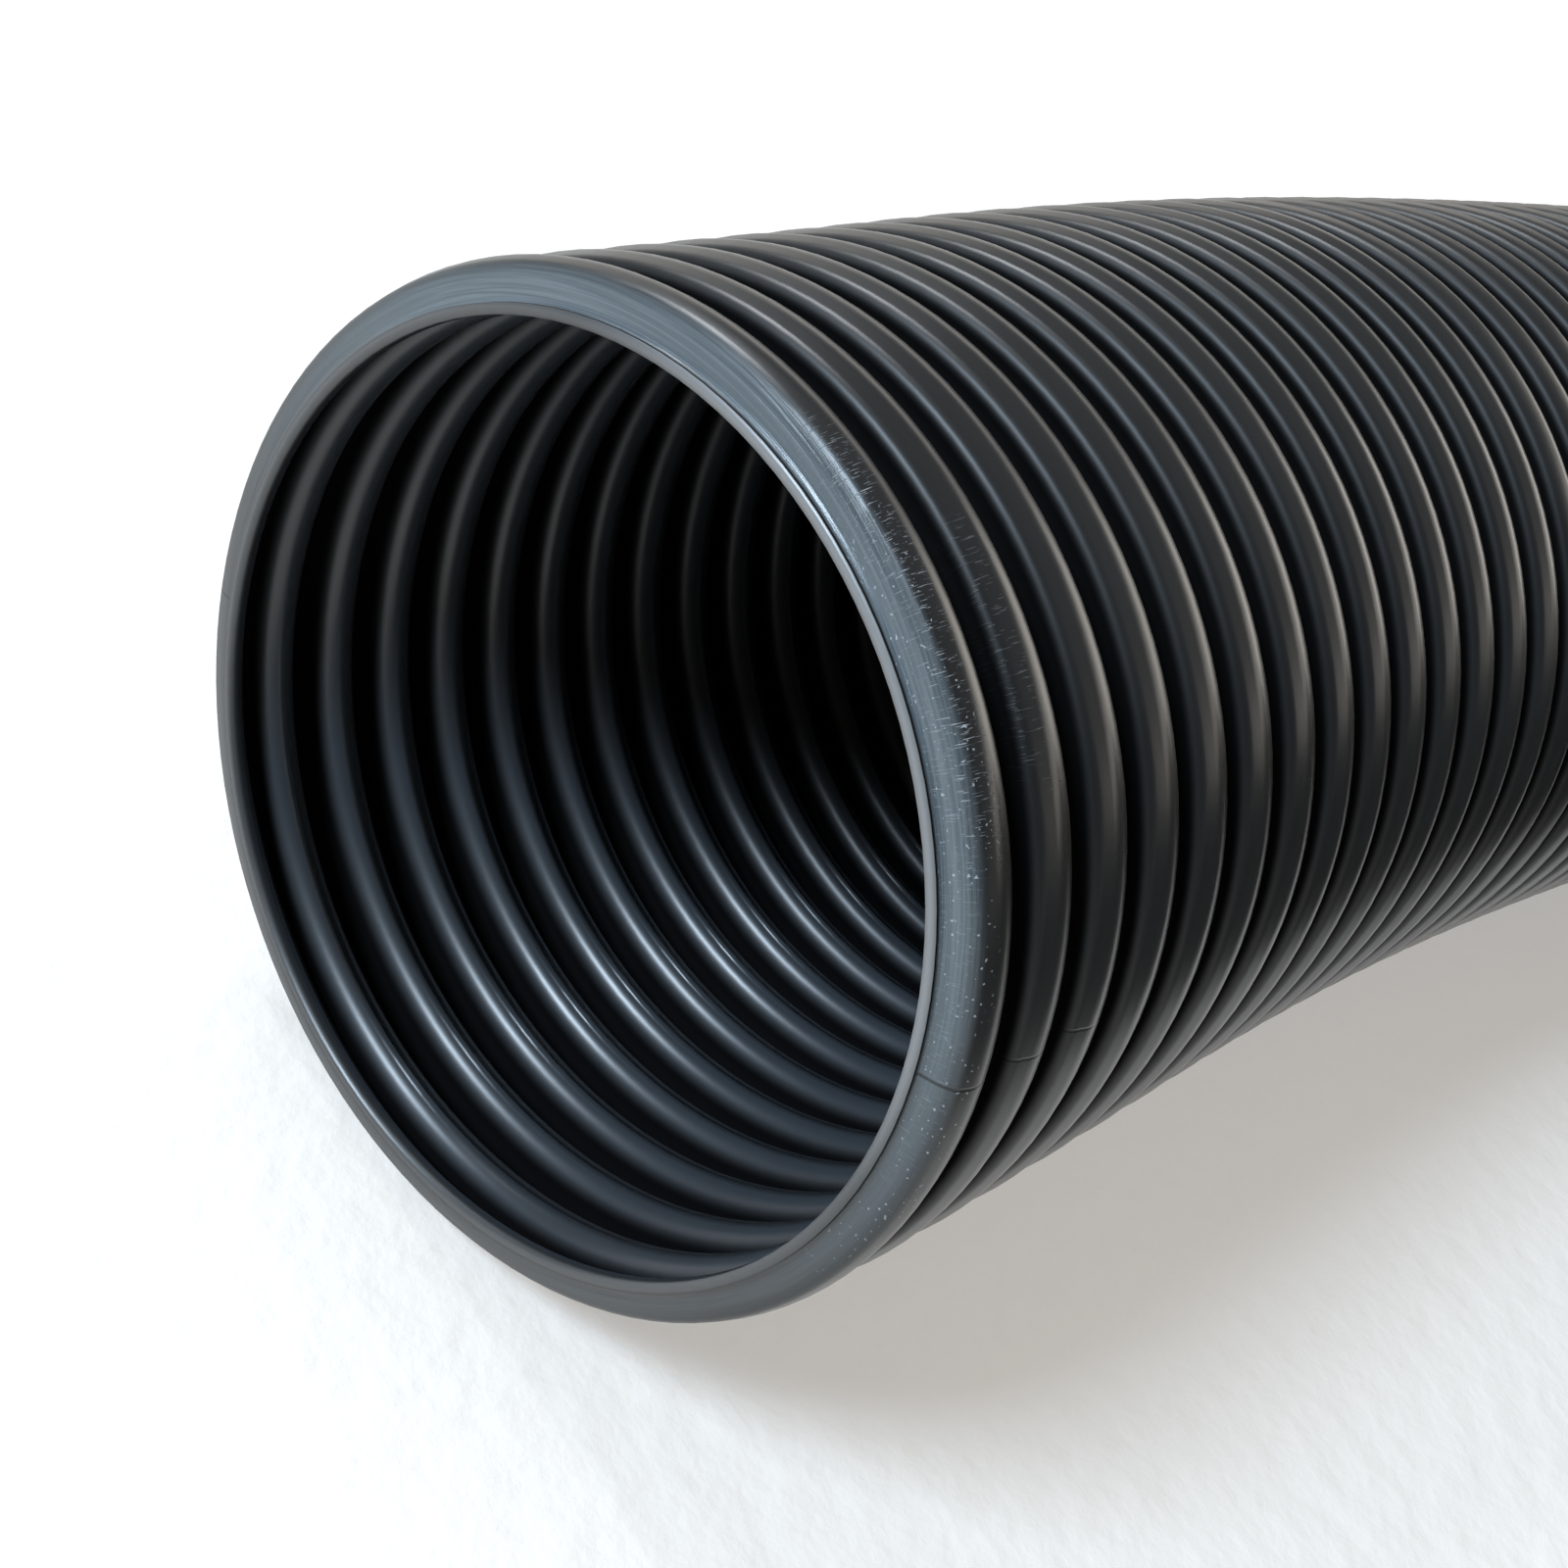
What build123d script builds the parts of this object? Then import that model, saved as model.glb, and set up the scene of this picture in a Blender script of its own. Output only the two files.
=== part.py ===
"""Corrugated vacuum hose: a bare cut end, a loose run, a flat coil and a swivel cuff."""

from math import atan2, cos, degrees, hypot, pi, radians, sin, sqrt, tan
import os

from build123d import *

os.makedirs("parts", exist_ok=True)

# All sizes are in millimetres and all angles in degrees.
# The origin is the centre of the open mouth. The hose leaves it along +Y and lies on the floor,
# which is one crest radius below the origin.

# Hose wall
bore_radius = 19.0
corrugation_height = 2.1
wall = 0.45
ring_pitch = 3.5
crest_width = 2.1
crest_draft = 0.12
crest_edge_radius = 0.6
ridge_edge_radius = 0.45
corner_radius = 0.12
lip_length = 0.2
end_rings = 14

# Route of the hose on the floor
bend_distance = 130.0
lead_angle = 8.0
lead_distance = 100.0
run_share = 0.45

# Flat coil
coil_radius = 253.0
turn_gap = 0.6
rest_clearance = 0.3
tail_length = 34.0

# Collar, fixed over the far end of the hose
grip_clearance = 0.05
collar_wall = 2.4
collar_grip = 26.0
stop_thickness = 2.0
journal_wall = 2.9
journal_length = 11.0
groove_depth = 1.2
nose_end = 1.8
collar_edge = 0.5

# Swivel cuff and what holds it
running_clearance = 0.05
washer_thickness = 0.8
retainer_thickness = 1.2
retainer_height = 2.0
retainer_gap_angle = 40.0
cuff_wall = 1.8
rib_height = 1.2
rim_length = 7.0
retainer_room = 0.4
seal_section_radius = 1.15
socket_clearance = 0.1
socket_length = 40.0
socket_lead_in = 0.8
cuff_edge = 0.8
grip_ribs = 16
rib_width = 3.0


def lengthwise(start, direction):
    """Sketch plane with x along the hose and y across it, in the floor's plane."""
    return Plane(origin=start, x_dir=direction, z_dir=(0, 0, 1))


# Directions of the hose before and after its gentle bend
mouth = Vector(0, 0, 0)
out_of_mouth = Vector(0, 1, 0)
ahead = Vector(sin(radians(lead_angle)), cos(radians(lead_angle)), 0)
across = Vector(cos(radians(lead_angle)), -sin(radians(lead_angle)), 0)
upright = Vector(0, 0, 1)

# Ring section, shared by every crest
crest_radius = bore_radius + corrugation_height
crest_half = crest_width / 2
foot_half = crest_half + crest_draft
valley_radius = bore_radius + wall
groove_radius = crest_radius - wall
first_crest = lip_length + foot_half
end_length = first_crest + end_rings * ring_pitch - ring_pitch / 2

# Hose end: true ring shape, cut square just ahead of the first crest
outer_points = [(0, bore_radius), (0, valley_radius)]
inner_points = []
for ring in range(end_rings):
    centre = first_crest + ring * ring_pitch
    outer_points.append((centre - foot_half, valley_radius))
    outer_points.append((centre - crest_half, crest_radius))
    outer_points.append((centre + crest_half, crest_radius))
    outer_points.append((centre + foot_half, valley_radius))
    inner_points.append((centre - foot_half + wall, bore_radius))
    inner_points.append((centre - crest_half + wall, groove_radius))
    inner_points.append((centre + crest_half - wall, groove_radius))
    inner_points.append((centre + foot_half - wall, bore_radius))
outer_points.append((end_length, valley_radius))
outer_points.append((end_length, bore_radius))
end_plane = lengthwise(mouth, out_of_mouth)

with BuildPart() as hose_end:
    with BuildSketch(end_plane) as wall_section:
        with BuildLine():
            Polyline(*outer_points, *reversed(inner_points), close=True)
        make_face()
        crest_edges = wall_section.vertices().filter_by(lambda v: v.Y > crest_radius - 0.01)
        fillet(crest_edges, radius=crest_edge_radius)
        ridge_edges = wall_section.vertices().filter_by(
            lambda v: v.Y < bore_radius + 0.01 and lip_length + wall < v.X < end_length - 0.01
        )
        fillet(ridge_edges, radius=ridge_edge_radius)
        corners = wall_section.vertices().filter_by(
            lambda v: abs(v.Y - groove_radius) < 0.01 or abs(v.Y - valley_radius) < 0.01
        )
        fillet(corners.filter_by(lambda v: 0.01 < v.X < end_length - 0.01), radius=corner_radius)
    revolve(axis=Axis(mouth, out_of_mouth))

# Hose run: the same hose beyond the drawn rings, straight, gently bent, straight
bend_corner = mouth + out_of_mouth * bend_distance
coil_start = bend_corner + ahead * lead_distance
run_start = mouth + out_of_mouth * end_length
shorter_run = min(bend_distance - end_length, lead_distance)
bend_radius = run_share * shorter_run / tan(radians(lead_angle) / 2)

with BuildPart() as hose_run:
    with BuildLine() as run_line:
        FilletPolyline(run_start, bend_corner, coil_start, radius=bend_radius)
    with BuildSketch(Plane(origin=run_start, z_dir=out_of_mouth)):
        Circle(crest_radius)
        Circle(bore_radius, mode=Mode.SUBTRACT)
    sweep(path=run_line.wires()[0])

# Radii of the far end, each from the one inside it
journal_radius = bore_radius + journal_wall
groove_floor = journal_radius - groove_depth
grip_radius = crest_radius + grip_clearance
collar_radius = grip_radius + collar_wall
retainer_radius = groove_floor + retainer_height
retainer_room_radius = retainer_radius + retainer_room
cuff_bore_radius = journal_radius + running_clearance
cuff_body_radius = retainer_room_radius + cuff_wall
cuff_radius = cuff_body_radius + rib_height
socket_radius = bore_radius + socket_clearance
seal_radius = (bore_radius + journal_radius) / 2

# Stations along the far end, from the end of the coil
collar_back = tail_length - collar_grip
stop_end = tail_length + stop_thickness
flange_start = stop_end + washer_thickness
groove_start = stop_end + journal_length
groove_end = groove_start + retainer_thickness
collar_front = groove_end + nose_end
cuff_back = flange_start + running_clearance
flange_end = groove_start - running_clearance
seal_centre = collar_front + seal_section_radius
cuff_stop = collar_front + 2 * seal_section_radius + running_clearance
cuff_front = cuff_stop + socket_length
front_rim_start = cuff_front - rim_length
back_rim_end = cuff_back + rim_length

# Coil: half turns to the right, each one turn spacing smaller in diameter. The last one climbs,
# so that the cuff's front rests on the half turn under it and its socket opens over the coil.
turn_spacing = 2 * crest_radius + turn_gap
half_turns = [coil_radius, coil_radius - turn_spacing / 2, coil_radius - turn_spacing]
under_radius = half_turns[-1]
rest_offset = under_radius - hypot(under_radius - turn_spacing, cuff_front)
rest_distance = cuff_radius + crest_radius + rest_clearance
end_rise = sqrt(rest_distance**2 - rest_offset**2)
last_span = 2 * under_radius - turn_spacing
last_turn_radius = hypot(last_span, end_rise) / 2
last_tilt = atan2(end_rise, last_span)

with BuildPart() as hose_coil:
    turn_start = coil_start
    inward = across
    for turn_radius in half_turns:
        heading = upright.cross(inward)
        with BuildSketch(Plane(origin=turn_start, z_dir=heading)):
            Circle(crest_radius)
        turn_centre = turn_start + inward * turn_radius
        revolve(axis=Axis(turn_centre, -upright), revolution_arc=180)
        turn_start = turn_centre + inward * turn_radius
        inward = -inward
    heading = upright.cross(inward)
    lifted_inward = inward * cos(last_tilt) + upright * sin(last_tilt)
    with BuildSketch(Plane(origin=turn_start, z_dir=heading)):
        Circle(crest_radius)
    turn_centre = turn_start + lifted_inward * last_turn_radius
    revolve(axis=Axis(turn_centre, heading.cross(lifted_inward)), revolution_arc=180)
    tail_start = turn_centre + lifted_inward * last_turn_radius

# Far end of the hose, straight inside the collar
tail_plane = lengthwise(tail_start, ahead)
tail_axis = Axis(tail_start, ahead)

with BuildPart() as hose_tail:
    with BuildSketch(Plane(origin=tail_start, z_dir=ahead)):
        Circle(crest_radius)
        Circle(bore_radius, mode=Mode.SUBTRACT)
    extrude(amount=tail_length)

with BuildPart() as hose_collar:
    with BuildSketch(tail_plane) as collar_section:
        with BuildLine():
            Polyline(
                (collar_back, grip_radius),
                (collar_back, collar_radius),
                (stop_end, collar_radius),
                (stop_end, journal_radius),
                (groove_start, journal_radius),
                (groove_start, groove_floor),
                (groove_end, groove_floor),
                (groove_end, journal_radius),
                (collar_front, journal_radius),
                (collar_front, bore_radius),
                (tail_length, bore_radius),
                (tail_length, grip_radius),
                close=True,
            )
        make_face()
        collar_edges = collar_section.vertices().filter_by(lambda v: v.Y > collar_radius - 0.01)
        fillet(collar_edges, radius=collar_edge)
    revolve(axis=tail_axis)

with BuildPart() as thrust_washer:
    with BuildSketch(Plane(origin=tail_start + ahead * stop_end, z_dir=ahead)):
        Circle(collar_radius)
        Circle(journal_radius, mode=Mode.SUBTRACT)
    extrude(amount=washer_thickness)

# Split ring in the groove; it stands proud of the journal and keeps the cuff on
with BuildPart() as retaining_ring:
    with BuildSketch(Plane(origin=tail_start + ahead * groove_start, x_dir=across, z_dir=ahead)):
        Circle(retainer_radius)
        Circle(groove_floor, mode=Mode.SUBTRACT)
        with BuildLine():
            reach = retainer_radius * 2
            gap_half = radians(retainer_gap_angle / 2)
            Polyline(
                (0, 0),
                (reach * cos(gap_half), reach * sin(gap_half)),
                (reach * cos(gap_half), -reach * sin(gap_half)),
                close=True,
            )
        make_face(mode=Mode.SUBTRACT)
    extrude(amount=retainer_thickness)

# Swivel cuff: an inward flange runs on the collar's journal, a stop carries the seal
with BuildPart() as cuff_seal:
    with BuildSketch(tail_plane):
        with Locations((seal_centre, seal_radius)):
            Circle(seal_section_radius)
    revolve(axis=tail_axis)

with BuildPart() as swivel_cuff:
    with BuildSketch(tail_plane) as cuff_section:
        with BuildLine():
            Polyline(
                (cuff_back, cuff_bore_radius),
                (cuff_back, cuff_radius),
                (back_rim_end, cuff_radius),
                (back_rim_end, cuff_body_radius),
                (front_rim_start, cuff_body_radius),
                (front_rim_start, cuff_radius),
                (cuff_front, cuff_radius),
                (cuff_front, socket_radius + socket_lead_in),
                (cuff_front - socket_lead_in, socket_radius),
                (cuff_stop, socket_radius),
                (cuff_stop, retainer_room_radius),
                (flange_end, retainer_room_radius),
                (flange_end, cuff_bore_radius),
                close=True,
            )
        make_face()
        rim_edges = cuff_section.vertices().filter_by(lambda v: v.Y > cuff_radius - 0.01)
        fillet(rim_edges, radius=cuff_edge)
    revolve(axis=tail_axis)
    rib_length = front_rim_start - back_rim_end
    rib_centre = (back_rim_end + front_rim_start) / 2
    with Locations(Plane(origin=tail_start + ahead * rib_centre, x_dir=across, z_dir=ahead)):
        with PolarLocations(cuff_body_radius, grip_ribs):
            Box(rib_height, rib_width, rib_length, align=(Align.CENTER, Align.CENTER, Align.CENTER))

nodes = {
    "hose_end": hose_end,
    "hose_run": hose_run,
    "hose_coil": hose_coil,
    "hose_tail": hose_tail,
    "hose_collar": hose_collar,
    "thrust_washer": thrust_washer,
    "retaining_ring": retaining_ring,
    "cuff_seal": cuff_seal,
    "swivel_cuff": swivel_cuff,
}
for name, node in nodes.items():
    node.part.label = name
    size = node.part.bounding_box().size
    print(f"{name}: {size.X:.1f} x {size.Y:.1f} x {size.Z:.1f} mm, {node.part.volume:.0f} mm3")

export_step(hose_end.part, "parts/hose_end.step")
export_step(hose_run.part, "parts/hose_run.step")
export_step(hose_coil.part, "parts/hose_coil.step")
export_step(hose_tail.part, "parts/hose_tail.step")
export_step(hose_collar.part, "parts/hose_collar.step")
export_step(thrust_washer.part, "parts/thrust_washer.step")
export_step(retaining_ring.part, "parts/retaining_ring.step")
export_step(cuff_seal.part, "parts/cuff_seal.step")
export_step(swivel_cuff.part, "parts/swivel_cuff.step")

run_length = run_line.wires()[0].length
coil_length = pi * (sum(half_turns) + last_turn_radius)
tube_area = pi * (crest_radius**2 - bore_radius**2)
print(f"bend radius {bend_radius:.0f}, coil radii {[round(r, 1) for r in half_turns]} and {last_turn_radius:.1f}")
print(f"run volume {hose_run.part.volume:.0f}, section x length {tube_area * run_length:.0f}")
print(f"coil volume {hose_coil.part.volume:.0f}, section x length {pi * crest_radius**2 * coil_length:.0f}")
print(f"hose length {end_length + run_length + coil_length + tail_length:.0f}")
print(f"last tilt {degrees(last_tilt):.3f}, tail start {tail_start}, cuff front {cuff_front:.2f}")
socket_middle = tail_start + ahead * (cuff_stop + cuff_front) / 2
hinge_middle = tail_start + ahead * (flange_start + groove_start) / 2
print(f"socket middle {socket_middle}, hinge middle {hinge_middle}")
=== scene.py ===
# %% [markdown]
# # A ringed vacuum hose
#
# A flexible vacuum hose is a thin plastic wall blown into hundreds of rings. Each ring is a
# separate closed hoop, not a thread, so the hose bends without changing length much. One end
# is cut square and left bare. The rest of the hose lies in a flat coil, and its far end
# carries a cuff that swivels.
#
# All sizes are in metres. The origin is the centre of the open mouth, the hose leaves it
# along +Y, and the floor is one crest radius below the origin.

# %% Load the frame
import math

import bpy
import numpy as np
from mathutils import Matrix, Vector


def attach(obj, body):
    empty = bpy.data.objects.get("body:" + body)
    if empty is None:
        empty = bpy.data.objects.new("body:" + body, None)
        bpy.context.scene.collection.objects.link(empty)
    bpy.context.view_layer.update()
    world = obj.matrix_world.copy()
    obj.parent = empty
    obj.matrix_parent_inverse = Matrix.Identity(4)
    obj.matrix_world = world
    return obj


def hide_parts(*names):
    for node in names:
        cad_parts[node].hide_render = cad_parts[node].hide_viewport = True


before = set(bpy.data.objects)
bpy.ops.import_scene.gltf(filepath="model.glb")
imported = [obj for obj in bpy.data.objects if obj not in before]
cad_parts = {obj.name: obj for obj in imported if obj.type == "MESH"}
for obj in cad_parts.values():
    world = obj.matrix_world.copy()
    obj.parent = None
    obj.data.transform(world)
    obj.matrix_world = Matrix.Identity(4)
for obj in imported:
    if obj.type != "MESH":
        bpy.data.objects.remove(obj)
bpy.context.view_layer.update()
print("CAD nodes:", ", ".join(sorted(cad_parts)))

# %% Sizes that the model and this scene share
CREST_RADIUS = 0.0211
BORE_RADIUS = 0.019
WALL = 0.00045
PITCH = 0.0035
LIP_LENGTH = 0.0002
CREST_WIDTH = 0.0021
CREST_DRAFT = 0.00012
VALLEY_RADIUS = BORE_RADIUS + WALL
GROOVE_RADIUS = CREST_RADIUS - WALL
FOOT_HALF = CREST_WIDTH / 2 + CREST_DRAFT
FIRST_CREST = LIP_LENGTH + FOOT_HALF
FLOOR = -CREST_RADIUS
print("crest diameter", 2 * CREST_RADIUS, "m")

# %% [markdown]
# ## The camera
#
# The hose is seen from close by, from the right and above, looking into its mouth. A lens
# this near makes the mouth large and the hose behind it shrink quickly, so the camera's
# distance matters more than its angle.

# %% Camera
camera_data = bpy.data.cameras.new("camera")
camera = bpy.data.objects.new("camera", camera_data)
bpy.context.scene.collection.objects.link(camera)
camera_data.sensor_width = 36
camera_data.lens = 56.0
camera_data.clip_start = 0.005
camera_data.clip_end = 20
camera_place = Vector((1.711, -2.941, 2.925)) * CREST_RADIUS
camera_right = Vector((0.6030, 0.6522, 0.4593)).normalized()
camera_forward = Vector((-0.3306, 0.7283, -0.6002)).normalized()
camera_up = camera_right.cross(camera_forward).normalized()
camera_right = camera_forward.cross(camera_up).normalized()
turn = Matrix((camera_right, camera_up, -camera_forward)).transposed()
camera.matrix_world = Matrix.Translation(camera_place) @ turn.to_4x4()
bpy.context.scene.camera = camera
print("camera at", [round(c, 4) for c in camera_place])

# %% [markdown]
# ## The route
#
# A hose has one smooth centreline. A NURBS spline of order 3 draws it from a few control
# points: it touches the middle of each line between two points, so points set around a
# circle give a clean round turn. The order and the end points are set after the points are
# added, because a new spline has too few points to take them.

# %% Route of the hose, as control points
BEND_AT = 0.130
LEAD_ANGLE = math.radians(8)
LEAD = 0.100
COIL_RADIUS = 0.253
TURN_SPACING = 2 * CREST_RADIUS + 0.0006
TAIL = 0.034
CUFF_RADIUS = 0.0261
CUFF_FRONT = 0.09235
REST_CLEARANCE = 0.0003
POINTS_PER_HALF_TURN = 8

ahead = Vector((math.sin(LEAD_ANGLE), math.cos(LEAD_ANGLE), 0))
across = Vector((math.cos(LEAD_ANGLE), -math.sin(LEAD_ANGLE), 0))
coil_start = Vector((0, BEND_AT, 0)) + ahead * LEAD
route = [
    Vector((0, 0, 0)),
    Vector((0, 0.010, 0)),
    Vector((-0.0011, 0.040, 0)),
    Vector((0.0004, 0.070, 0)),
    Vector((0.0042, 0.105, 0)),
    Vector((0.0080, 0.135, 0)),
]


def half_turn(start, heading, inward, radius):
    """Control points of half a turn and the point where it ends."""
    step = math.pi / POINTS_PER_HALF_TURN
    centre = start + inward * radius
    reach = radius / math.cos(step / 2)
    points = []
    for i in range(POINTS_PER_HALF_TURN):
        angle = (i + 0.5) * step
        points.append(centre + (heading * math.sin(angle) - inward * math.cos(angle)) * reach)
    return points, centre + inward * radius


turn_start = coil_start
heading, inward = ahead, across
for radius in (COIL_RADIUS, COIL_RADIUS - TURN_SPACING / 2, COIL_RADIUS - TURN_SPACING):
    points, turn_start = half_turn(turn_start, heading, inward, radius)
    route += points
    heading, inward = -heading, -inward

# The last half turn climbs until the cuff rests on the half turn under it
under_radius = COIL_RADIUS - TURN_SPACING
rest_offset = under_radius - math.hypot(under_radius - TURN_SPACING, CUFF_FRONT)
end_rise = math.sqrt((CUFF_RADIUS + CREST_RADIUS + REST_CLEARANCE) ** 2 - rest_offset**2)
last_span = 2 * under_radius - TURN_SPACING
last_turn_radius = math.hypot(last_span, end_rise) / 2
tilt = math.atan2(end_rise, last_span)
lifted = inward * math.cos(tilt) + Vector((0, 0, 1)) * math.sin(tilt)
points, tail_start = half_turn(turn_start, heading, lifted, last_turn_radius)
route += points
route.append(tail_start + ahead * TAIL)

curve = bpy.data.curves.new("route", "CURVE")
curve.dimensions = "3D"
curve.resolution_u = 64
spline = curve.splines.new("NURBS")
spline.points.add(len(route) - 1)
for knot, place in zip(spline.points, route):
    knot.co = (*place, 1)
spline.order_u = 3
spline.use_endpoint_u = True
route_object = bpy.data.objects.new("route", curve)
line_mesh = bpy.data.meshes.new_from_object(route_object)
line = np.array([v.co[:] for v in line_mesh.vertices])
bpy.data.objects.remove(route_object)
bpy.data.meshes.remove(line_mesh)
steps = np.linalg.norm(np.diff(line, axis=0), axis=1)
line = line[np.concatenate([[True], steps > 1e-7])]
distance = np.concatenate([[0], np.cumsum(np.linalg.norm(np.diff(line, axis=0), axis=1))])
HOSE_LENGTH = float(distance[-1])
print("hose length", round(HOSE_LENGTH, 3), "m from", len(route), "control points")

# %% [markdown]
# ## The wall of the hose
#
# The wall is one section, repeated at every ring and carried along the centreline. At each
# station of the section the tube gets a hoop of points, set square to the line. The outer
# skin has broad round crests with narrow gaps; the bore shows the same wall from behind, so
# its ridges sit where the gaps are. Stations are a distance along the hose and a radius.

# %% Hoops square to the centreline
middle = (distance[1:] + distance[:-1]) / 2
directions = np.diff(line, axis=0) / np.linalg.norm(np.diff(line, axis=0), axis=1)[:, None]


def centre_and_axes(along):
    """Centre, sideways and up directions of the hose at distances along it."""
    along = np.asarray(along, float)
    centre = np.stack([np.interp(along, distance, line[:, k]) for k in range(3)], 1)
    tangent = np.stack([np.interp(along, middle, directions[:, k]) for k in range(3)], 1)
    tangent /= np.linalg.norm(tangent, axis=1)[:, None]
    side = np.cross(tangent, (0.0, 0.0, 1.0))
    side /= np.linalg.norm(side, axis=1)[:, None]
    up = np.cross(side, tangent)
    return centre, side, up


def tube(name, stations, segments):
    """Closed mesh through hoops at the stations (distance, radius, skin, height)."""
    stations = np.asarray(stations, float)
    rows = len(stations)
    turns = np.arange(segments) / segments
    angle = turns * 2 * math.pi
    centre, side, up = centre_and_axes(stations[:, 0])
    radius = np.repeat(stations[:, 1][:, None], segments, 1)
    ring = np.cos(angle)[None, :, None] * side[:, None] + np.sin(angle)[None, :, None] * up[:, None]
    points = centre[:, None] + radius[..., None] * ring
    a = (np.arange(rows)[:, None] * segments + np.arange(segments)).ravel()
    b = (np.arange(rows)[:, None] * segments + (np.arange(segments) + 1) % segments).ravel()
    c = ((np.arange(rows)[:, None] + 1) % rows * segments + (np.arange(segments) + 1) % segments).ravel()
    d = ((np.arange(rows)[:, None] + 1) % rows * segments + np.arange(segments)).ravel()
    mesh = bpy.data.meshes.new(name)
    mesh.from_pydata(points.reshape(-1, 3).tolist(), [], np.stack([a, b, c, d], 1).tolist())
    for title, column in (("along", 0), ("skin", 2), ("height", 3)):
        layer = mesh.attributes.new(title, "FLOAT", "POINT")
        layer.data.foreach_set("value", np.repeat(stations[:, column], segments))
    uv = mesh.uv_layers.new(name="around")
    track = np.concatenate([[0], np.cumsum(np.hypot(*np.diff(stations[:, :2], axis=0).T))])
    track = np.append(track, track[-1])
    u = np.arange(segments) / segments
    left, right = np.tile(u, rows), np.tile(u + 1 / segments, rows)
    low, high = np.repeat(track[:-1], segments), np.repeat(track[1:], segments)
    corners = np.stack([left, low, right, low, right, high, left, high], 1)
    uv.data.foreach_set("uv", corners.ravel())
    mesh.update()
    piece = bpy.data.objects.new(name, mesh)
    bpy.context.scene.collection.objects.link(piece)
    for face in mesh.polygons:
        face.use_smooth = True
    print(name, len(mesh.vertices), "points,", 2 * len(mesh.polygons), "triangles")
    return piece


# %% [markdown]
# ## Section of one ring
#
# Each crest has steep sides. Its front shoulder is soft and its back edge is crisper, as the
# mould leaves them, so a crest shades from dark to light and ends in a thin bright line; its
# lower sides also carry painted shade. The first crest was cut through just ahead of it,
# which leaves a flat face with a tight shoulder.

# %% Section of one ring, outside and inside
FRONT_ROUND = 0.00055
BACK_ROUND = 0.00035
CREST_DOME = 0.00014
LIP_DEPTH = 0.0006
LIP_RISE = 0.0015
RIDGE_ROUND = 0.00098


def rounded(half_width, foot, rise, front, back, counts, dome=0.0):
    """Offset and height across a crest: foot, front arc (deep, high), dome, back arc, foot."""
    deep, high = front
    front_points, top_points, back_points = counts
    side = rise - dome
    section = [(-foot, 0.0)]
    for k in range(front_points):
        angle = math.pi * (1 - 0.5 * k / (front_points - 1))
        section.append((-half_width + deep + deep * math.cos(angle), side - high + high * math.sin(angle)))
    low, high_end = -half_width + deep, half_width - back
    for k in range(1, top_points + 1):
        part = k / (top_points + 1)
        section.append((low + (high_end - low) * part, side + dome * 4 * part * (1 - part)))
    for k in range(back_points):
        angle = math.pi / 2 * (1 - k / (back_points - 1))
        section.append((high_end + back * math.cos(angle), side - back + back * math.sin(angle)))
    return section + [(foot, 0.0)]


def outer_rings(first, count, counts):
    stations = []
    rise = CREST_RADIUS - VALLEY_RADIUS
    for ring in range(first, first + count):
        middle_place = FIRST_CREST + ring * PITCH
        front = (LIP_DEPTH, LIP_RISE) if ring == 0 else (FRONT_ROUND, FRONT_ROUND)
        for x, up in rounded(CREST_WIDTH / 2, FOOT_HALF, rise, front, BACK_ROUND, counts, CREST_DOME):
            stations.append((middle_place + x, VALLEY_RADIUS + up, 0.0, up / rise))
    return stations


def inner_rings(first, count, counts):
    stations = []
    rise = GROOVE_RADIUS - BORE_RADIUS
    foot = PITCH / 2 - FOOT_HALF + WALL
    for ring in range(first, first + count):
        middle_place = FIRST_CREST + (ring + 0.5) * PITCH
        for x, up in rounded(foot - 0.00005, foot, rise, (RIDGE_ROUND, RIDGE_ROUND), RIDGE_ROUND, counts):
            stations.append((middle_place + x, GROOVE_RADIUS - up, 1.0, up / rise))
    return stations


FINE_RINGS, MIDDLE_RINGS, PLAIN_RINGS = 14, 27, 34
NEAR_RINGS = FINE_RINGS + MIDDLE_RINGS + PLAIN_RINGS
near_end = FIRST_CREST + (NEAR_RINGS - 0.5) * PITCH
outside = outer_rings(0, FINE_RINGS, (7, 3, 4))
outside += outer_rings(FINE_RINGS, MIDDLE_RINGS, (4, 1, 3))
outside += outer_rings(FINE_RINGS + MIDDLE_RINGS, PLAIN_RINGS, (3, 0, 2))
inside = inner_rings(0, FINE_RINGS, (5, 0, 5))
inside += inner_rings(FINE_RINGS, MIDDLE_RINGS, (3, 0, 3))
inside += inner_rings(FINE_RINGS + MIDDLE_RINGS, PLAIN_RINGS - 1, (2, 0, 2))
lip = [(0.0, BORE_RADIUS, 2.0, 0.0), (0.0, VALLEY_RADIUS, 2.0, 0.0)]
far_edge = [(near_end, VALLEY_RADIUS, 0.0, 0.0), (near_end, BORE_RADIUS, 1.0, 1.0)]
mouth_edge = [(LIP_LENGTH + WALL, BORE_RADIUS, 1.0, 1.0)]
near_stations = lip + outside + far_edge + inside[::-1] + mouth_edge
hose_near = tube("hose_near", near_stations, 112)
print("near part ends", round(near_end, 4), "m from the mouth")

# %% [markdown]
# ## The coiled length
#
# The coil is the same hose again, with fewer points, in three lengths that meet in a gap
# between two rings. Each length keeps its bore, so that it is a real tube and not a rod.

# %% The coiled length, in three pieces
FAR_RINGS = int((HOSE_LENGTH - near_end) / PITCH)
FAR_PIECES = 3


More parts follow.
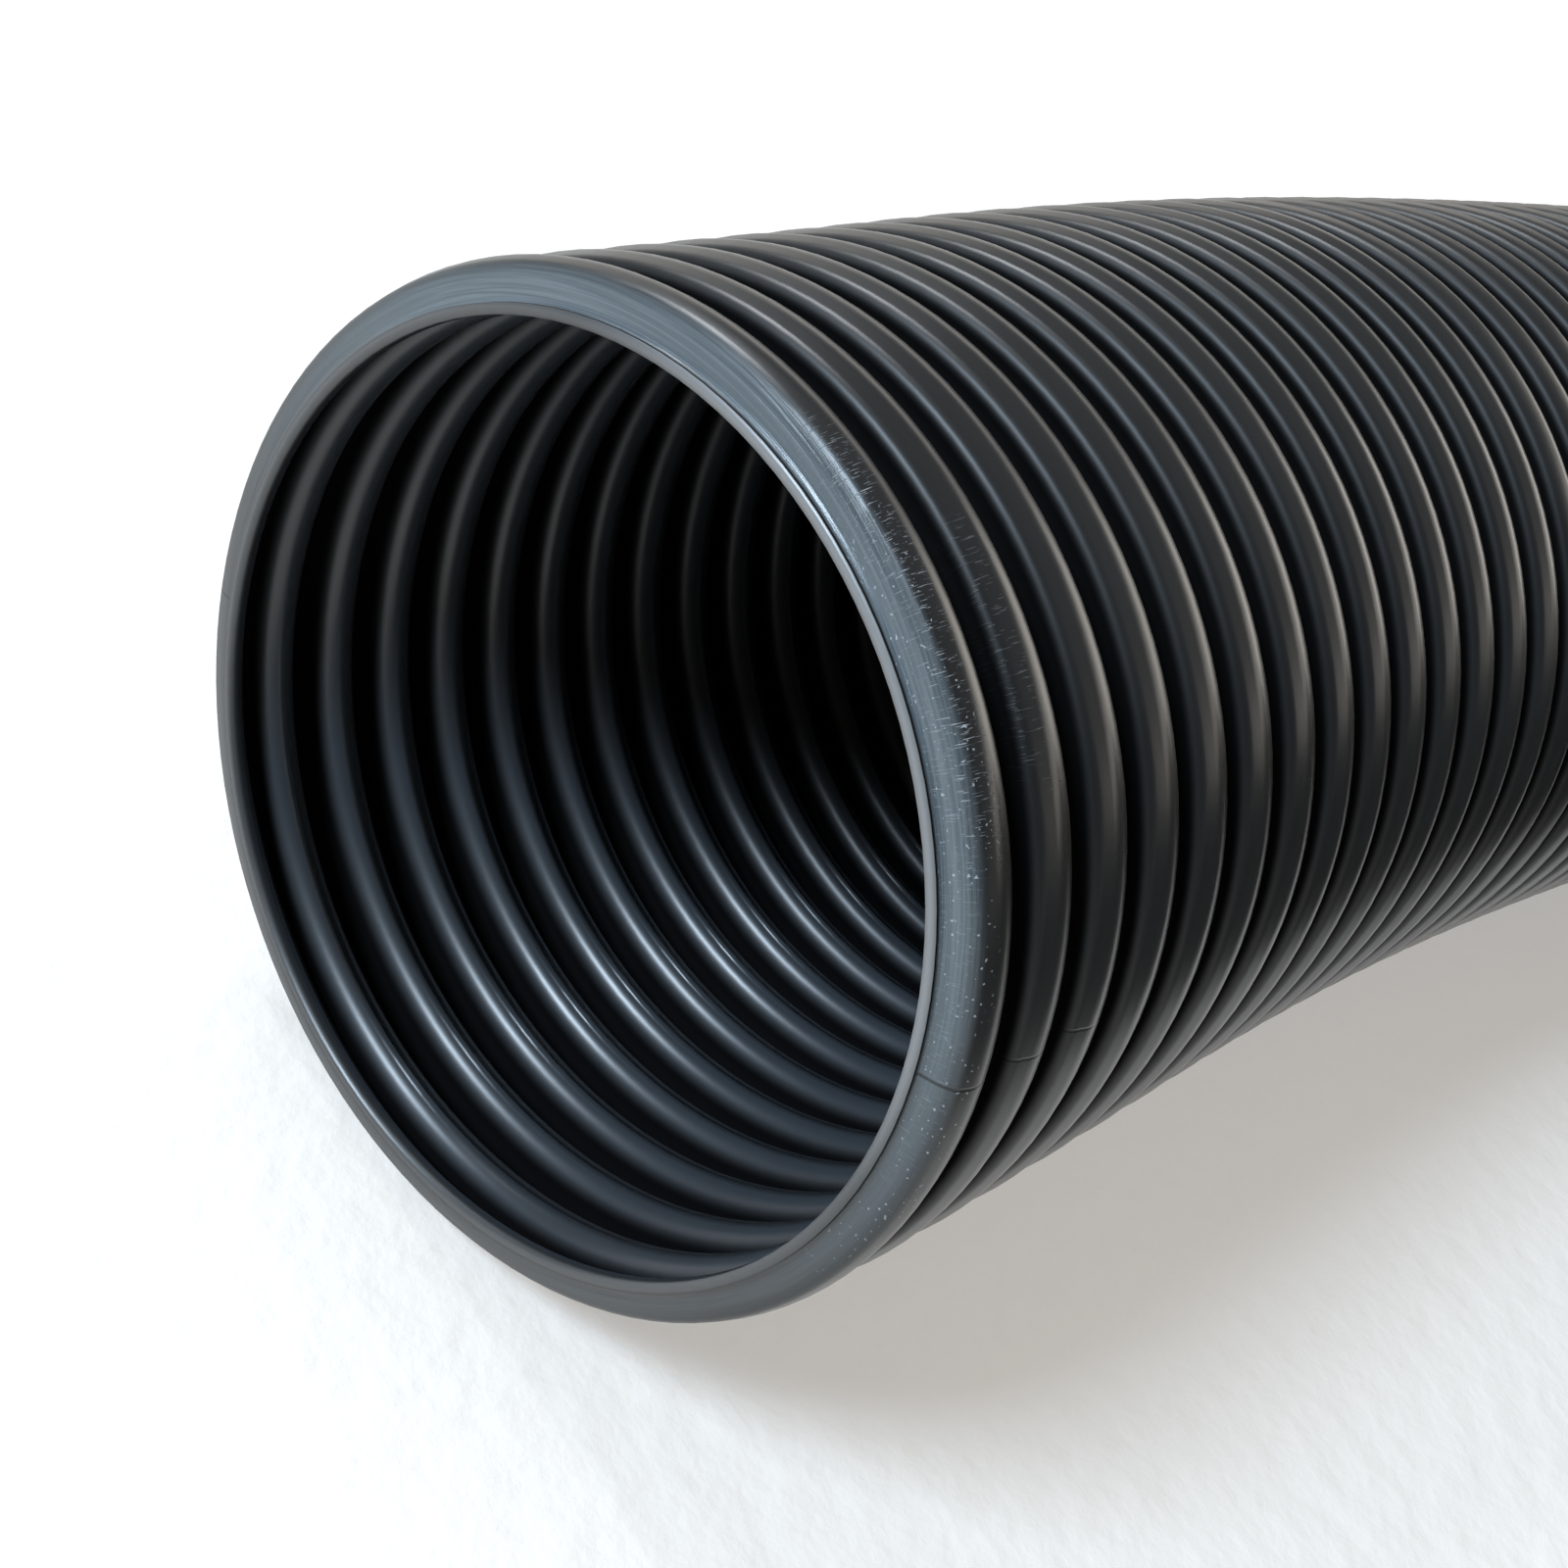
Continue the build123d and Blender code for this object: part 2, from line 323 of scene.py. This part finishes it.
def far_length(name, first, count, last):
    """A length of coiled hose between two gaps, or up to the hose's last cut."""
    start = FIRST_CREST + (first - 0.5) * PITCH
    end = HOSE_LENGTH if last else start + count * PITCH
    bore = [(start + k * PITCH, BORE_RADIUS, 1.0, 0.0) for k in range(1, count)]
    stations = [(start, BORE_RADIUS, 1.0, 0.0), (start, VALLEY_RADIUS, 0.0, 0.0)]
    stations += outer_rings(first, count, (3, 0, 2))
    stations += [(end, VALLEY_RADIUS, 0.0, 0.0), (end, BORE_RADIUS, 1.0, 0.0)]
    return tube(name, stations + bore[::-1], 44), start, end


far_lengths = []
for k in range(FAR_PIECES):
    first = NEAR_RINGS + k * (FAR_RINGS // FAR_PIECES)
    last = k == FAR_PIECES - 1
    count = NEAR_RINGS + FAR_RINGS - first if last else FAR_RINGS // FAR_PIECES
    far_lengths.append(far_length(f"hose_coil_{k + 1}", first, count, last))
hose_pieces = [hose_near] + [piece for piece, start, end in far_lengths]

# %% [markdown]
# ## Shader maths
#
# Node trees read best as sums. This small class wraps a socket, so that `a * b + 1` adds the
# Math nodes that it says, and one method adds any other node.

# %% Shader helper
class Value:
    """A socket in a node tree, with the operators that the materials use."""

    def __init__(self, tree, socket):
        self.tree, self.socket = tree, socket

    def node(self, kind, settings=None, output=0, **inputs):
        made = self.tree.nodes.new(kind)
        for key, setting in (settings or {}).items():
            setattr(made, key, setting)
        for key, given in inputs.items():
            name = key.replace("_", " ")
            numbered = name[0] == "i" and name[1:].isdigit()
            target = made.inputs[int(name[1:]) if numbered else name]
            if isinstance(given, Value):
                self.tree.links.new(given.socket, target)
            else:
                target.default_value = given
        return Value(self.tree, made.outputs[output])

    def math(self, operation, *others):
        given = {f"i{k + 1}": other for k, other in enumerate(others)}
        return self.node("ShaderNodeMath", {"operation": operation}, i0=self, **given)

    def __add__(self, other):
        return self.math("ADD", other)

    def __sub__(self, other):
        return self.math("SUBTRACT", other)

    def __mul__(self, other):
        return self.math("MULTIPLY", other)

    def __rsub__(self, other):
        return self.math("MULTIPLY_ADD", -1.0, other)

    def __neg__(self):
        return self.math("MULTIPLY", -1.0)

    __radd__, __rmul__ = __add__, __mul__

    def between(self, low, high, start=0.0, end=1.0):
        """Moves low..high to start..end, smoothly, and holds it there."""
        return self.node(
            "ShaderNodeMapRange",
            {"interpolation_type": "SMOOTHSTEP"},
            Value=self, From_Min=low, From_Max=high, To_Min=start, To_Max=end,
        )


def new_material(name):
    """An empty Principled material: the material, its first value and its shader."""
    material = bpy.data.materials.new(name)
    material.use_nodes = True
    tree = material.node_tree
    shader = tree.nodes["Principled BSDF"]
    return material, Value(tree, None), shader


def connect(value, shader, name):
    value.tree.links.new(value.socket, shader.inputs[name])


# %% [markdown]
# ## Hose plastic
#
# The plastic is charcoal with a satin gloss. The knife left the cut face scuffed and paler,
# with fine lines that run round it; the face, its lines and the cut end of the wall also carry
# a painted bluish highlight, brightest towards the top and upper right. The bore is painted
# lighter and bluer, as painted light from the mouth. Short nicks cross the shoulder of the
# first rings, a few specks of dust sit near the edge, and a parting line from the mould
# crosses each ring. The grooves are painted near black and mixed with a black matt shader:
# painted shade.

# %% Directions round the hose and along its section
plastic, start, shader = new_material("hose_plastic")
place = start.node("ShaderNodeTexCoord", output=3)
x = start.node("ShaderNodeSeparateXYZ", output=0, Vector=place)
z = start.node("ShaderNodeSeparateXYZ", output=2, Vector=place)
flat = start.node("ShaderNodeCombineXYZ", X=x, Z=z)
radius = start.node("ShaderNodeVectorMath", {"operation": "LENGTH"}, output=1, i0=flat)
around = start.node("ShaderNodeVectorMath", {"operation": "NORMALIZE"}, i0=flat)
skin = start.node("ShaderNodeAttribute", {"attribute_name": "skin"}, output=2)
along = start.node("ShaderNodeAttribute", {"attribute_name": "along"}, output=2)
height = start.node("ShaderNodeAttribute", {"attribute_name": "height"}, output=2)


def facing(degrees, spread):
    """1 where the hose faces an angle round its axis, 0 beyond the spread."""
    way = (math.cos(math.radians(degrees)), 0, math.sin(math.radians(degrees)))
    closeness = start.node("ShaderNodeVectorMath", {"operation": "DOT_PRODUCT"}, output=1, i0=around, i1=way)
    return closeness.between(math.cos(math.radians(spread)), 1 - 0.3 * (1 - math.cos(math.radians(spread))))


outer_skin = skin.between(0.1, 0.4, 1.0, 0.0)
cut = skin.between(1.2, 1.9)
face = along.between(0.00035, 0.0009, 1.0, 0.0) * outer_skin
shoulder = along.between(0.0009, 0.0018, 1.0, 0.0) * outer_skin
inner_skin = skin.between(0.6, 0.9)
# Masks of the grooves between the crests and between the ridges of the bore, which carry painted shade.
outer_groove_shade = height.between(0.55, 0.97, 1.0, 0.0) * (1.0 - face) * outer_skin
inner_groove_shade = height.between(0.3, 0.85, 1.0, 0.0) * inner_skin * (1.0 - cut)
groove_shade = outer_groove_shade + inner_groove_shade
print("hose plastic: masks made")

# %% Brushed lines with painted highlight, nicks, specks and the parting line
across_face = start.node("ShaderNodeCombineXYZ", X=radius * 5200.0, Y=along * 5200.0)
drift = start.node("ShaderNodeVectorMath", {"operation": "SCALE"}, i0=around, Scale=2.5)
brush_place = start.node("ShaderNodeVectorMath", {"operation": "ADD"}, i0=across_face, i1=drift)
# Fine lines run round the cut face, weighted towards the top, where they also carry a painted highlight.
brush_and_highlight = start.node("ShaderNodeTexNoise", Vector=brush_place, Scale=2.2, Detail=3.0)
brush_and_highlight = brush_and_highlight.between(0.35, 0.65) * face * (facing(85, 75) * 0.8 + 0.2)

spokes = start.node("ShaderNodeVectorMath", {"operation": "SCALE"}, i0=around, Scale=520.0)
wander = start.node("ShaderNodeCombineXYZ", Y=along * 1400.0 + radius * 1400.0)
nick_place = start.node("ShaderNodeVectorMath", {"operation": "ADD"}, i0=spokes, i1=wander)
nicks = start.node("ShaderNodeTexNoise", Vector=nick_place, Scale=1.0, Detail=1.0).between(0.62, 0.72)
near_shoulder = along.between(0.0003, 0.00055) * shoulder
nicks = nicks * (near_shoulder * facing(66, 26) + face * facing(35, 34) * 0.35)
second_ring = along.between(0.0036, 0.0039) * along.between(0.0046, 0.005, 1.0, 0.0) * outer_skin
few = start.node("ShaderNodeTexNoise", Vector=nick_place, Scale=0.8, Detail=1.0).between(0.62, 0.7)
nicks = nicks + few * second_ring * facing(62, 16) * 0.25

dust = start.node("ShaderNodeTexNoise", Vector=place, Scale=7000.0, Detail=0.0).between(0.77, 0.8)
dust = dust * shoulder * facing(35, 50) * 0.6
parting_way = (-math.sin(math.radians(20)), 0, math.cos(math.radians(20)))
parting = start.node("ShaderNodeVectorMath", {"operation": "DOT_PRODUCT"}, output=1, i0=flat, i1=parting_way)
parting = parting.math("ABSOLUTE").between(0.00003, 0.00009, 1.0, 0.0) * outer_skin * along.between(0.004, 0.012, 1.0, 0.0)
print("hose plastic: wear made")

# %% Colour, gloss and relief of the plastic
cloud = start.node("ShaderNodeTexNoise", Vector=place, Scale=90.0, Detail=3.0)


def blend(amount, first, second):
    return start.node("ShaderNodeMix", {"data_type": "RGBA"}, output=2, i0=amount, i6=first, i7=second)


tone = blend(cloud, (0.015, 0.0152, 0.0155, 1), (0.020, 0.0203, 0.0207, 1))
# Painted light: the bore is made lighter and bluer than the outside, standing in for window light through the
# mouth.
tone = blend(inner_skin * (1.0 - cut), tone, (0.026, 0.031, 0.037, 1))
# Painted shade: the grooves are made near black.
tone = blend(groove_shade * 0.9, tone, (0.001, 0.001, 0.0012, 1))
# Partly real, partly painted: the scuffed face is paler, and it is painted bluish and brighter towards the
# top as a painted highlight.
tone = blend(face * (facing(85, 110) * 0.75 + 0.25), tone, (0.060, 0.078, 0.090, 1))
# Partly real, partly painted: the brushed lines are made pale and bluish as a painted highlight.
tone = blend(brush_and_highlight * 0.35, tone, (0.17, 0.2, 0.22, 1))
# Partly real, partly painted: the cut end is paler plastic, and brighter towards the upper right as a painted
# highlight.
tone = blend(cut * (facing(60, 60) * 0.75 + 0.25), tone, (0.16, 0.165, 0.17, 1))
tone = blend((nicks * 0.5 + dust).math("MINIMUM", 1.0), tone, (0.42, 0.46, 0.5, 1))
tone = blend(parting * 0.8, tone, (0.002, 0.002, 0.002, 1))
connect(tone, shader, "Base Color")
gloss = cloud.between(0.3, 0.7, 0.27, 0.33) + groove_shade * 0.45 + inner_skin * 0.06 + brush_and_highlight * 0.06
connect(gloss, shader, "Roughness")
shader.inputs["Specular IOR Level"].default_value = 0.65
grain = start.node("ShaderNodeTexNoise", Vector=place, Scale=2600.0, Detail=2.0)
relief = grain * 0.12 + brush_and_highlight * 0.5 + nicks * 0.9 - parting
bump = start.node("ShaderNodeBump", Height=relief, Strength=0.5, Distance=0.00004)
connect(bump, shader, "Normal")
glossy = Value(plastic.node_tree, shader.outputs[0])
# Painted shade: a black matt shader is mixed in over the grooves so that they stay black.
painted_shade_black = start.node("ShaderNodeBsdfDiffuse", Color=(0.0015, 0.0015, 0.0018, 1), Roughness=1.0)
wall_look = start.node("ShaderNodeMixShader", i0=groove_shade * 0.92, i1=glossy, i2=painted_shade_black)
plastic_output = plastic.node_tree.nodes["Material Output"]
plastic.node_tree.links.new(wall_look.socket, plastic_output.inputs["Surface"])
print("hose plastic:", len(plastic.node_tree.nodes), "nodes")
for piece in hose_pieces:
    piece.data.materials.append(plastic)


# %% [markdown]
# ## The fittings on the far end
#
# The collar and cuff are moulded in a softer, matt black plastic with a fine spark texture.
# The washer is white, the retaining ring is spring steel and the seal is rubber.

# %% Fittings
def fitting(name, colour, rough, metal=0.0, grain_scale=1500.0, grain_strength=0.15):
    material, start, shader = new_material(name)
    place = start.node("ShaderNodeTexCoord", output=3)
    cloud = start.node("ShaderNodeTexNoise", Vector=place, Scale=60.0, Detail=4.0)
    lighter = tuple(min(1, c * 1.25) for c in colour) + (1,)
    tone = start.node("ShaderNodeMix", {"data_type": "RGBA"}, output=2, i0=cloud, i6=(*colour, 1), i7=lighter)
    connect(tone, shader, "Base Color")
    connect(cloud.between(0.3, 0.7, rough - 0.05, rough + 0.07), shader, "Roughness")
    grain = start.node("ShaderNodeTexNoise", Vector=place, Scale=grain_scale, Detail=3.0)
    bump = start.node("ShaderNodeBump", Height=grain, Strength=grain_strength, Distance=0.0002)
    connect(bump, shader, "Normal")
    shader.inputs["Metallic"].default_value = metal
    return material


finishes = {
    "hose_collar": fitting("collar_plastic", (0.016, 0.017, 0.018), 0.5),
    "swivel_cuff": fitting("cuff_plastic", (0.02, 0.021, 0.023), 0.45),
    "thrust_washer": fitting("washer_plastic", (0.7, 0.7, 0.68), 0.35, grain_strength=0.03),
    "retaining_ring": fitting("spring_steel", (0.5, 0.5, 0.51), 0.3, metal=1.0, grain_strength=0.04),
    "cuff_seal": fitting("seal_rubber", (0.012, 0.012, 0.012), 0.6, grain_strength=0.05),
}
for node, material in finishes.items():
    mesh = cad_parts[node].data
    mesh.materials.clear()
    mesh.materials.append(material)

# %% [markdown]
# ## Putting the pieces in the frame
#
# Every piece rides on a body, and each length of hose stands for the plain CAD solids that
# it covers.

# %% Ride and replace
for piece in hose_pieces:
    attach(piece, "hose")
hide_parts("hose_end", "hose_run")
for piece, start, end in far_lengths:
    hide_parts("hose_coil")
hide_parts("hose_tail")


def path_between(low, high):
    """The centres that a length of hose follows, one to a ring."""
    count = max(2, int((high - low) / PITCH))
    return centre_and_axes(np.linspace(low, high, count))[0].tolist()


near_path = path_between(0, near_end)[::-1]
for piece, start, end in far_lengths:
    path = path_between(start, end)
    last = end == HOSE_LENGTH
    end - start
print("cords declared:", len(hose_pieces))

# %% [markdown]
# ## Floor and light
#
# The hose lies on a white cloth in a bright room. A cool window stands high in front and to
# the left, which draws the bright line along the lip and lights the bottom of the bore; the
# plastic's colour adds painted highlight on the lip and painted light in the bore. The pale
# room near the horizon gives the crests their warm edge. What lies overhead is darker, which
# helps keep the gaps between the crests black, and painted shade in the grooves does the rest.

# %% Floor
bpy.ops.mesh.primitive_plane_add(size=8, location=(0, 0, FLOOR - 0.0002))
floor = bpy.context.object
floor.name = "floor"
cloth, start, shader = new_material("white_cloth")
place = start.node("ShaderNodeTexCoord", output=3)
fibres = start.node("ShaderNodeTexNoise", Vector=place, Scale=420.0, Detail=6.0)
bump = start.node("ShaderNodeBump", Height=fibres, Strength=0.5, Distance=0.0006)
connect(bump, shader, "Normal")
shader.inputs["Base Color"].default_value = (0.88, 0.86, 0.83, 1)
shader.inputs["Roughness"].default_value = 0.95
shader.inputs["Specular IOR Level"].default_value = 0.1
glow = start.node("ShaderNodeEmission", Color=(1.0, 0.985, 0.96, 1), Strength=1.0)
seen = start.node("ShaderNodeLightPath", output=0) * 0.4
mirrored = start.node("ShaderNodeLightPath", output=3) * 0.6
lit = Value(cloth.node_tree, shader.outputs[0])
pale = lit.node("ShaderNodeMixShader", i0=seen + mirrored, i1=lit, i2=glow)
cloth_output = cloth.node_tree.nodes["Material Output"]
cloth.node_tree.links.new(pale.socket, cloth_output.inputs["Surface"])
floor.data.materials.append(cloth)

# %% World
world = bpy.data.worlds.new("room")
bpy.context.scene.world = world
world.use_nodes = True
sky = Value(world.node_tree, None)
seen = sky.node("ShaderNodeLightPath", output=0)
way = sky.node("ShaderNodeTexCoord", output=0)
level = sky.node("ShaderNodeSeparateXYZ", output=2, Vector=way)
behind = sky.node("ShaderNodeSeparateXYZ", output=1, Vector=way).between(-0.35, 0.35, 0.08, 1.0)
mirror = sky.node("ShaderNodeLightPath", output=3)
room = world.node_tree.nodes["Background"]
horizon = level.between(0.08, 0.5, 1.0, 0.1) * behind
unseen = mirror * horizon + (1.0 - mirror) * 0.34
strength = seen + (1.0 - seen) * unseen
warm = sky.node("ShaderNodeMix", {"data_type": "RGBA"}, output=2,
                i0=mirror, i6=(1.0, 0.86, 0.68, 1), i7=(1.0, 0.96, 0.90, 1))
shade = sky.node("ShaderNodeMix", {"data_type": "RGBA"}, output=2, i0=seen, i6=warm, i7=(1.0, 0.99, 0.975, 1))
world.node_tree.links.new(strength.socket, room.inputs["Strength"])
world.node_tree.links.new(shade.socket, room.inputs["Color"])


# %% Lights
def window(name, place, target, width, height, power, colour):
    """A rectangular soft light that faces its target."""
    data = bpy.data.lights.new(name, "AREA")
    data.shape = "RECTANGLE"
    data.size, data.size_y = width, height
    data.energy = power
    data.color = colour
    light = bpy.data.objects.new(name, data)
    bpy.context.scene.collection.objects.link(light)
    light.location = place
    light.rotation_euler = (Vector(target) - Vector(place)).to_track_quat("-Z", "Y").to_euler()
    return light


window("window", (-0.28, -0.78, 0.75), (0, 0, 0), 0.34, 0.26, 17, (0.70, 0.85, 1.0))
window("side_window", (-0.90, 0.10, 0.85), (0, 0.05, 0), 0.5, 0.4, 9, (0.90, 0.95, 1.0))
window("room_glow", (0.55, 1.30, 0.40), (0.02, 0.08, 0), 1.6, 0.9, 7, (1.0, 0.94, 0.86))
bpy.context.scene.view_settings.view_transform = "Standard"
